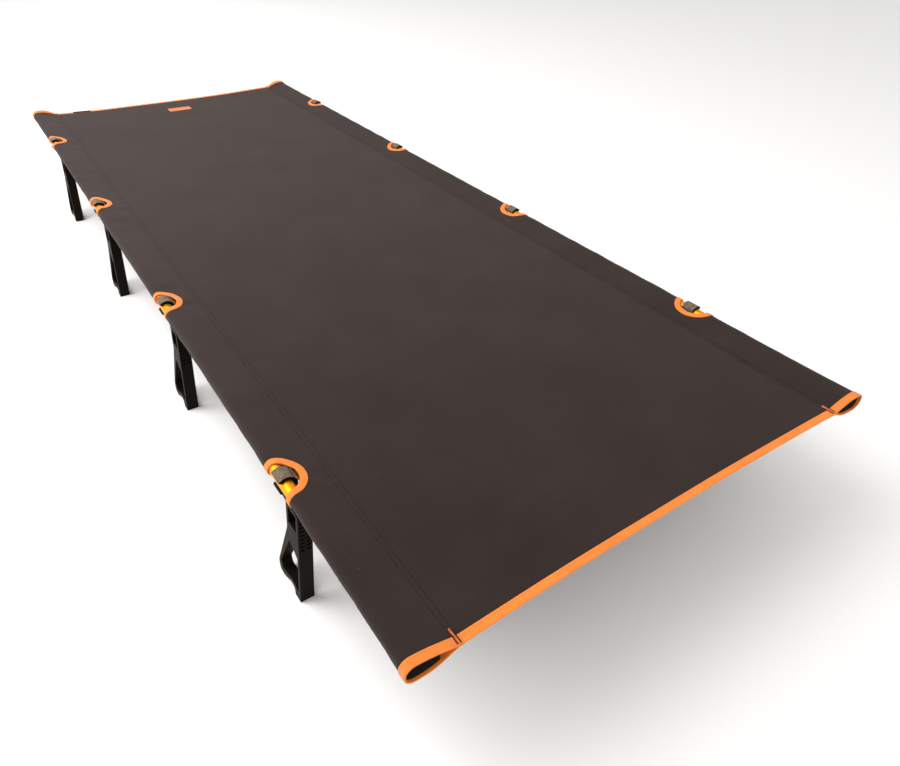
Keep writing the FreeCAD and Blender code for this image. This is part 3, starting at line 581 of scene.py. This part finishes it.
def cover_grid(cloth, end, hole):
    """Points of the flat cut and its faces, with a round hole at each leg window."""
    section = cloth.section
    across, along = across_lines(section), along_lines(end)
    patches = []
    for sign in (-1, 1):
        for centre in WINDOWS:
            middle = sign * section.fold
            columns = np.where(np.abs(across - middle) < PATCH_HALF + 1e-6)[0]
            rows = np.where(np.abs(along - centre) < PATCH_HALF + 1e-6)[0]
            patches.append((middle, centre, columns[0], columns[-1], rows[0], rows[-1]))
    inside = np.zeros((len(along), len(across)), bool)
    holed = np.zeros((len(along) - 1, len(across) - 1), bool)
    for _, _, c0, c1, r0, r1 in patches:
        inside[r0 + 1:r1, c0 + 1:c1] = True
        holed[r0:r1, c0:c1] = True
    number = -np.ones(inside.shape, int)
    number[~inside] = np.arange((~inside).sum())
    grid_s, grid_y = np.meshgrid(across, along)
    flat = list(zip(grid_s[~inside], grid_y[~inside]))
    faces = [(number[i, j], number[i, j + 1], number[i + 1, j + 1], number[i + 1, j])
             for i, j in zip(*np.where(~holed))]
    for middle, centre, c0, c1, r0, r1 in patches:
        rim = ([(r0, c) for c in range(c0, c1)] + [(r, c1) for r in range(r0, r1)]
               + [(r1, c) for c in range(c1, c0, -1)] + [(r, c0) for r in range(r1, r0, -1)])
        outer = [number[r, c] for r, c in rim]
        rings = [outer]
        for step in range(1, PATCH_RINGS + 1):
            share, ring = step / PATCH_RINGS, []
            for r, c in rim:
                ds, dy = across[c] - middle, along[r] - centre
                rim_reach = float(section.reach(math.atan2(dy, ds), hole))
                scale = (1 - share) + share * rim_reach / math.hypot(ds, dy)
                ring.append(len(flat))
                flat.append((middle + ds * scale, centre + dy * scale))
            rings.append(ring)
        for one, other in zip(rings, rings[1:]):
            for k in range(len(rim)):
                n = (k + 1) % len(rim)
                faces.append((one[k], one[n], other[n], other[k]))
    return np.array(flat), faces


class COT_OT_cover(bpy.types.Operator):
    """Sew the cover: one sheet from seam to seam, wrapped round both poles, with eight leg windows"""
    bl_idname = "cot.cover"
    bl_label = "Cover"

    def execute(self, context):
        cover, trim = context.scene.cot_cover, context.scene.cot_trim
        woven_polyester(cover)
        cloth = Cloth(cover)
        end = HEM_END - trim.hem_gauge
        hole = TAPE_OUTSIDE - trim.tape_width
        flat, faces = cover_grid(cloth, end, hole)
        points = cloth.at(flat[:, 0], flat[:, 1])
        sheet = new_object("cover_sheet", points, faces, cut=flat)
        thick = sheet.modifiers.new("gauge", "SOLIDIFY")
        thick.thickness = cloth.section.gauge
        thick.offset = 0.0
        give(sheet, "woven_polyester")
        settle(sheet, "cover_fabric", "cover_deck", "sleeve_left", "sleeve_right")
        turns = np.linspace(0, 2 * math.pi, 90, endpoint=False)
        holes = 8 * math.pi * float(np.mean(cloth.section.reach(turns, hole) ** 2))
        return {"FINISHED"}


# ---------------------------------------------------------------- tape and webbing

def folded_edge(width, gauge, cloth_gauge):
    """Section of a tape folded over a cloth's edge: distance in from the edge, and height."""
    top = cloth_gauge / 2 + gauge
    upper = [(width, cloth_gauge / 2 - 0.1 * MM), (width, top - 0.25 * gauge), (width - 0.5 * MM, top),
             (width * 0.6, top), (width * 0.25, top)]
    turn = [(-gauge * math.sin(a), top * math.cos(a)) for a in np.linspace(0, math.pi, 9)]
    lower = [(r, -n) for r, n in reversed(upper)]
    return upper + turn + lower


def bind(name, cloth, route, profile, closed):
    """A tape along a route; the route turns (step, distance in) into a place on the cut."""
    steps = route["steps"]
    inward, lift = np.array(profile).T
    around = np.cumsum([0.0] + [math.dist(a, b) for a, b in zip(profile, profile[1:])])
    points, cut = [], []
    for step in range(steps):
        s, y = route["place"](step, inward)
        points.extend(cloth.at(s, y, lift))
        cut.extend((step * route["pitch"], a) for a in around)
    faces = ring_faces(steps, len(profile), closed, True)
    if not closed:
        count = len(profile)
        faces.append(tuple(range(count - 1, -1, -1)))
        faces.append(tuple((steps - 1) * count + k for k in range(count)))
    return new_object(name, points, faces, cut=cut)


def window_route(cloth, sign, centre, radius, steps=120):
    def place(step, inward):
        angle = 2 * math.pi * step / steps
        reach = cloth.section.reach(angle, radius + inward)
        return sign * cloth.section.fold + reach * math.cos(angle), centre + reach * math.sin(angle)
    return {"steps": steps, "place": place, "pitch": 2 * math.pi * radius / steps}


def hem_route(cloth, direction, end):
    """Across the bed and round both sleeve mouths, from one under-seam to the other."""
    section = cloth.section
    half = spaced((0, section.seam - 6 * MM, 8 * MM),
                  (section.seam - 6 * MM, section.seam + 6 * MM, 2 * MM),
                  (section.seam + 6 * MM, section.touch, 4 * MM),
                  (section.touch, section.leave, 1.6 * MM),
                  (section.leave, section.end + 4 * MM, 4 * MM))
    lines = np.concatenate([-half[:0:-1], half])

    def place(step, inward):
        return lines[step] + 0 * inward, direction * (end - inward)
    return {"steps": len(lines), "place": place, "pitch": 2 * section.end / len(lines)}


class COT_OT_window_tapes(bpy.types.Operator):
    """Bind each leg window with tape folded over the cloth's edge"""
    bl_idname = "cot.window_tapes"
    bl_label = "Window tapes"

    def execute(self, context):
        cover, trim = context.scene.cot_cover, context.scene.cot_trim
        ribbed_webbing("orange_webbing", trim.trim_colour, trim.rib_pitch)
        cloth = Cloth(cover)
        profile = folded_edge(trim.tape_width, trim.tape_gauge, cloth.section.gauge)
        first = True
        for side, sign in SIDES:
            for number, centre in enumerate(reversed(WINDOWS), start=1):
                route = window_route(cloth, sign, centre, TAPE_OUTSIDE - trim.tape_width)
                tape = bind("window_tape_%s_%d" % (side, number), cloth, route, profile, True)
                give(tape, "orange_webbing")
                settle(tape, "trim_webbing", *(["window_bindings"] if first else []))
                first = False
        return {"FINISHED"}


class COT_OT_hem_webbing(bpy.types.Operator):
    """Fold the end webbing over both ends of the cover and round the sleeve mouths"""
    bl_idname = "cot.hem_webbing"
    bl_label = "End webbing"

    def execute(self, context):
        cover, trim = context.scene.cot_cover, context.scene.cot_trim
        cloth = Cloth(cover)
        profile = folded_edge(trim.hem_width, trim.hem_gauge, cloth.section.gauge)
        for end_name, direction in ENDS:
            route = hem_route(cloth, direction, HEM_END - trim.hem_gauge)
            webbing = bind("end_webbing_" + end_name, cloth, route, profile, False)
            give(webbing, "orange_webbing")
            settle(webbing, "trim_webbing", "hem_binding_" + end_name)
        return {"FINISHED"}


# ---------------------------------------------------------------- stitching

SEAM_THREAD = 0.55 * MM
TRIM_THREAD = 0.4 * MM
TAPE_STITCHES = 76  # round one leg window
TACK_BAR = 2.4 * MM  # thickness of the raised bar at a sleeve mouth
TACK_PITCH = 0.9 * MM
# The dark rows beside the bar are thread put where the bar's grooves lie in shade: a painted shadow.
TACK_SHADOW_ROW = 1.6 * MM  # thickness of the dark row on either side of it
TACK_GAP = 2.2 * MM  # from the bar's middle to each row
ROW_PITCH = 2.2 * MM
TACK_REACH = 9 * MM  # how far the bar runs past the webbing onto the cloth


def stitch_row(cloth, places, lift, thread, reach):
    """Points and faces of a row of stitches; each dips into the cloth at both ends."""
    points, faces = [], []
    section = [(-0.5, -0.25), (-0.35, 0.45), (0.0, 0.75), (0.35, 0.45), (0.5, -0.25)]
    for (s0, y0), (s1, y1) in places:
        run = math.hypot(s1 - s0, y1 - y0)
        ds, dy = (s1 - s0) / run, (y1 - y0) / run
        first = len(points)
        for along, size, height in ((0.5 - reach / 2, 0.55, -0.55), (0.36, 1.0, 0.0),
                                    (0.64, 1.0, 0.0), (0.5 + reach / 2, 0.55, -0.55)):
            for side, up in section:
                off = side * size * thread
                points.append((s0 + ds * run * along - dy * off, y0 + dy * run * along + ds * off,
                               lift + (up + height) * thread))
        faces.extend(tuple(first + i for i in face) for face in ring_faces(4, 5, False, True))
        faces.append(tuple(first + k for k in (4, 3, 2, 1, 0)))
        faces.append(tuple(first + 15 + k for k in range(5)))
    flat = np.array(points)
    return cloth.at(flat[:, 0], flat[:, 1], flat[:, 2]), faces


def stitches(name, cloth, rows, thread, material, slot, reach=0.86):
    """One object from several rows; a row is a list of places on the cut and a height."""
    points, faces = [], []
    for places, lift in rows:
        row_points, row_faces = stitch_row(cloth, places, lift, thread, reach)
        base = sum(len(p) for p in points)
        points.append(row_points)
        faces.extend(tuple(base + i for i in face) for face in row_faces)
    thing = new_object(name, np.concatenate(points), faces)
    give(thing, material)
    return settle(thing, slot)


def straight(start, end, pitch):
    """Places of stitches along a straight line on the cut."""
    start, end = np.array(start, float), np.array(end, float)
    count = max(1, round(float(np.linalg.norm(end - start)) / pitch))
    stops = [tuple(start + (end - start) * k / count) for k in range(count + 1)]
    return list(zip(stops, stops[1:]))


class COT_OT_stitching(bpy.types.Operator):
    """Stitch the sleeve seams, the tapes, the webbing and the bar tacks"""
    bl_idname = "cot.stitching"
    bl_label = "Stitching"

    def execute(self, context):
        cover, trim = context.scene.cot_cover, context.scene.cot_trim
        cloth = Cloth(cover)
        section = cloth.section
        spun_thread("seam_thread", cover.thread_colour)
        spun_thread("trim_thread", trim.trim_colour)
        spun_thread("tack_thread", trim.tack_colour)
        end = HEM_END - trim.hem_gauge
        face = section.gauge / 2
        for side, sign in SIDES:
            rows = [(straight((sign * (section.seam + k * cover.seam_gap / 2), -end + trim.hem_width),
                              (sign * (section.seam + k * cover.seam_gap / 2), end - trim.hem_width),
                              cover.stitch), face) for k in (-1, 1)]
            stitches("sleeve_seam_" + side, cloth, rows, SEAM_THREAD, "seam_thread", "cover_fabric")
            rows = []
            for centre in WINDOWS:
                route = window_route(cloth, sign, centre, TAPE_OUTSIDE - trim.tape_width, TAPE_STITCHES)
                stops = [route["place"](k, 0.72 * trim.tape_width) for k in range(TAPE_STITCHES + 1)]
                rows.append((list(zip(stops, stops[1:])), face + trim.tape_gauge))
            stitches("tape_stitches_" + side, cloth, rows, TRIM_THREAD, "trim_thread", "trim_webbing")
        for end_name, direction in ENDS:
            y = direction * (end - 0.78 * trim.hem_width)
            on_webbing = face + trim.hem_gauge
            rows = [(straight((-section.leave, y), (section.leave, y), trim.stitch), on_webbing)]
            stitches("webbing_stitches_" + end_name, cloth, rows, TRIM_THREAD, "trim_thread",
                     "trim_webbing")
            # Dark thread rows beside each bar tack stand in for the shaded grooves there: a painted shadow.
            tacks, shadow_rows = [], []
            for sign in (-1, 1):
                middle = sign * section.seam
                inner = direction * (end - trim.hem_width - TACK_REACH)
                outer = direction * (end - 1 * MM)
                tacks.append((straight((middle, inner), (middle, outer), TACK_PITCH), on_webbing))
                for shift in (-TACK_GAP, TACK_GAP):
                    shadow_rows.append((straight((middle + shift, direction * (end - trim.hem_width)),
                                           (middle + shift, outer), ROW_PITCH), on_webbing))
            stitches("bar_tacks_" + end_name, cloth, tacks, TACK_BAR, "tack_thread", "trim_webbing", 1.0)
            stitches("tack_rows_" + end_name, cloth, shadow_rows, TACK_SHADOW_ROW, "seam_thread", "trim_webbing", 1.0)
        return {"FINISHED"}


# ---------------------------------------------------------------- pole end pockets, label and tab

def pocket_inner_edge():
    """x where the webbing across a right-hand pole end stops, inboard."""
    node = frame["nodes"]["pole_end_pockets"]
    return min(x for x in ((node.matrix_world @ v.co).x for v in node.data.vertices) if x > 0)


class COT_OT_pole_pockets(bpy.types.Operator):
    """Sew a webbing strap across each pole end, inside the sleeve mouth"""
    bl_idname = "cot.pole_pockets"
    bl_label = "Pole end pockets"

    def execute(self, context):
        cover, trim = context.scene.cot_cover, context.scene.cot_trim
        ribbed_webbing("black_webbing", trim.black_colour, trim.rib_pitch, shine=0.05)
        cloth = Cloth(cover)
        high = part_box("pole_end_pockets")[1]
        clear = cover.cloth_gauge / 2 + trim.hem_gauge
        across = np.linspace(POLE_X + 0.5 * MM - high.x, POLE_X - pocket_inner_edge(), 19)
        first = True
        for end_name, direction in ENDS:
            for side, sign in SIDES:
                points, cut = [], []
                for x, upper, lower in zip(across, *cloth.mouth(across, direction * high.y, sign)):
                    for share in np.linspace(0, 1, 13):
                        y = high.y - trim.hem_gauge + 4.0 * MM * share * (1 - share)
                        z = lower + clear + share * (upper - lower - 2 * clear)
                        points.append((sign * (POLE_X - x), direction * y, z))
                        cut.append((x, z))
                strap = new_object("pole_pocket_%s_%s" % (end_name, side), points,
                                   ring_faces(len(across), 13, False, False), cut=cut)
                thick = strap.modifiers.new("gauge", "SOLIDIFY")
                thick.thickness = trim.hem_gauge
                thick.offset = 0.0
                give(strap, "black_webbing")
                settle(strap, "pocket_webbing", *(["pole_end_pockets"] if first else []))
                first = False
        return {"FINISHED"}


PATCH_CROWN = 0.8 * MM
LABEL_PITCH = 0.7 * MM


def patch(name, cloth, node, under, crown, border):
    """A sewn patch over a CAD node's footprint: a low crowned pad with a pressed border."""
    low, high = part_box(node)
    count = 24
    flat, cut = [], []
    middle_x, middle_y = (low.x + high.x) / 2, (low.y + high.y) / 2
    half_x, half_y = (high.x - low.x) / 2, (high.y - low.y) / 2
    face = cloth.section.gauge / 2 + under
    rings = [(1.0, -0.3 * MM), (1.0, 0.5 * crown), (0.985, 0.9 * crown), (0.95, crown),
             (1 - border, crown), (1 - border - 0.04, 0.7 * crown), (0.3, 0.72 * crown)]
    for scale, rise in rings:
        for k in range(4 * count):
            edge, t = divmod(k, count)
            u = -1 + 2 * t / count
            a, b = ((u, -1), (1, u), (-u, 1), (-1, -u))[edge]
            soft = 1 - 0.02 * abs(a * b) ** 8
            inset = (1 - scale) * min(half_x, half_y)
            x, y = a * soft * (half_x - inset), b * soft * (half_y - inset)
            flat.append((middle_x + x, middle_y + y, face + rise))
            cut.append((x, y))
    faces = ring_faces(len(rings), 4 * count, False, True)
    faces.append(tuple((len(rings) - 1) * 4 * count + k for k in range(4 * count)))
    faces.append(tuple(range(4 * count - 1, -1, -1)))
    flat = np.array(flat)
    return new_object(name, cloth.at(flat[:, 0], flat[:, 1], flat[:, 2]), faces, cut=cut)


class COT_OT_labels(bpy.types.Operator):
    """Sew on the blank label and the tab at the head end"""
    bl_idname = "cot.labels"
    bl_label = "Label and tab"

    def execute(self, context):
        cover, trim = context.scene.cot_cover, context.scene.cot_trim
        cloth = Cloth(cover)
        ribbed_webbing("woven_label", trim.label_colour, LABEL_PITCH)
        label = patch("woven_label", cloth, "blank_label", 0.0, PATCH_CROWN, 0.12)
        give(label, "woven_label")
        settle(label, "label_fabric", "blank_label")
        tab = patch("hem_tab", cloth, "head_tab", trim.hem_gauge, PATCH_CROWN, 0.2)
        give(tab, "black_webbing")
        settle(tab, "pocket_webbing", "head_tab")
        return {"FINISHED"}


# ---------------------------------------------------------------- finishes of the frame's own parts

class COT_OT_frame_finish(bpy.types.Operator):
    """Give the poles, bars, legs, pins and cords their finishes"""
    bl_idname = "cot.frame_finish"
    bl_label = "Frame finishes"

    def execute(self, context):
        colours = context.scene.cot_frame
        anodised_aluminium(colours.gold_colour)
        drawn_aluminium(colours.metal_colour)
        rivet_steel()
        moulded_nylon(colours.plastic_colour, colours.lit_and_scuffed_colour)
        braided_cord(colours.cord_colour)
        finishes = {"pole_gold": "gold_anodised_tube", "insert_metal": "drawn_aluminium",
                    "pin_steel": "zinc_plated_steel", "leg_plastic": "leg_nylon",
                    "fitting_plastic": "leg_nylon", "cord_rubber": "braided_cord"}
        for part in frame["record"]["subparts"]:
            if part["material_slot"] in finishes:
                give(frame["nodes"][part["node"]], finishes[part["material_slot"]])
        return {"FINISHED"}


# ---------------------------------------------------------------- stage

FLOOR_HALF = 14.0
WORLD_STRENGTH = 0.82
MIDDLE = (0, 0, POLE_Z)
# Name, place, what it faces, size and power in watts.
SOFTBOXES = (("key_softbox", (-1.5, 0.5, 2.4), MIDDLE, (2.0, 2.4), 46),
             ("side_softbox", (-1.25, 0.1, 1.1), (-0.3, 0.0, POLE_Z), (0.9, 2.2), 15),
             ("far_softbox", (-0.8, 4.0, 2.3), MIDDLE, (3.0, 1.6), 50),
             ("low_softbox", (0.5, -3.4, 0.9), MIDDLE, (2.6, 1.2), 18))


def area_light(name, place, aim, size, power):
    data = bpy.data.lights.new(name, "AREA")
    data.shape = "RECTANGLE"
    data.size, data.size_y = size
    data.energy = power
    lamp = bpy.data.objects.new(name, data)
    bpy.context.scene.collection.objects.link(lamp)
    lamp.location = place
    lamp.rotation_euler = (Vector(aim) - Vector(place)).to_track_quat("-Z", "Y").to_euler()


class COT_OT_stage(bpy.types.Operator):
    """Set up the camera, the pale floor and the soft lights"""
    bl_idname = "cot.stage"
    bl_label = "Stage"

    def execute(self, context):
        stage = context.scene.cot_stage
        data = bpy.data.cameras.new("camera")
        data.sensor_width = 36.0
        data.lens = stage.lens
        data.clip_start = 0.02
        camera = bpy.data.objects.new("camera", data)
        context.scene.collection.objects.link(camera)
        look = (Vector(stage.aim) - Vector(stage.eye)).to_track_quat("-Z", "Y")
        camera.location = stage.eye
        camera.rotation_euler = (look.to_matrix() @ Matrix.Rotation(stage.roll, 3, "Z")).to_euler()
        context.scene.camera = camera
        studio_floor(stage.floor_colour)
        corners = [(x * FLOOR_HALF, y * FLOOR_HALF, 0) for x, y in ((-1, -1), (1, -1), (1, 1), (-1, 1))]
        floor = new_object("floor", corners, [(0, 1, 2, 3)], smooth=False)
        give(floor, "painted_board")
        for softbox in SOFTBOXES:
            area_light(*softbox)
        world = bpy.data.worlds.new("studio")
        world.use_nodes = True
        background = world.node_tree.nodes["Background"]
        background.inputs["Color"].default_value = (1.0, 1.0, 1.0, 1.0)
        background.inputs["Strength"].default_value = WORLD_STRENGTH
        context.scene.world = world
        context.scene.view_settings.view_transform = "Standard"
        return {"FINISHED"}


# ---------------------------------------------------------------- add-on

OPERATORS = (COT_OT_stage, COT_OT_frame_finish, COT_OT_cover, COT_OT_window_tapes, COT_OT_hem_webbing,
             COT_OT_stitching, COT_OT_pole_pockets, COT_OT_labels)


class COT_PT_panel(bpy.types.Panel):
    """Lists the cot's pieces in the sidebar"""
    bl_idname = "COT_PT_panel"
    bl_label = "Folding Cot"
    bl_space_type = "VIEW_3D"
    bl_region_type = "UI"
    bl_category = "Cot"

    def draw(self, context):
        for name, group in SETTINGS:
            box = self.layout.box()
            for key in group.__annotations__:
                box.prop(getattr(context.scene, name), key)
        for operator in OPERATORS:
            self.layout.operator(operator.bl_idname)


def register():
    for name, group in SETTINGS:
        bpy.utils.register_class(group)
        setattr(bpy.types.Scene, name, PointerProperty(type=group))
    for cls in OPERATORS + (COT_PT_panel,):
        bpy.utils.register_class(cls)


def unregister():
    for cls in reversed(OPERATORS + (COT_PT_panel,)):
        bpy.utils.unregister_class(cls)
    for name, group in reversed(SETTINGS):
        delattr(bpy.types.Scene, name)
        bpy.utils.unregister_class(group)


def main():
    register()
    bpy.ops.cot.stage()
    bpy.ops.cot.frame_finish()
    bpy.ops.cot.cover()
    bpy.ops.cot.window_tapes()
    bpy.ops.cot.hem_webbing()
    bpy.ops.cot.stitching()
    bpy.ops.cot.pole_pockets()
    bpy.ops.cot.labels()


if __name__ == "__main__":
    main()
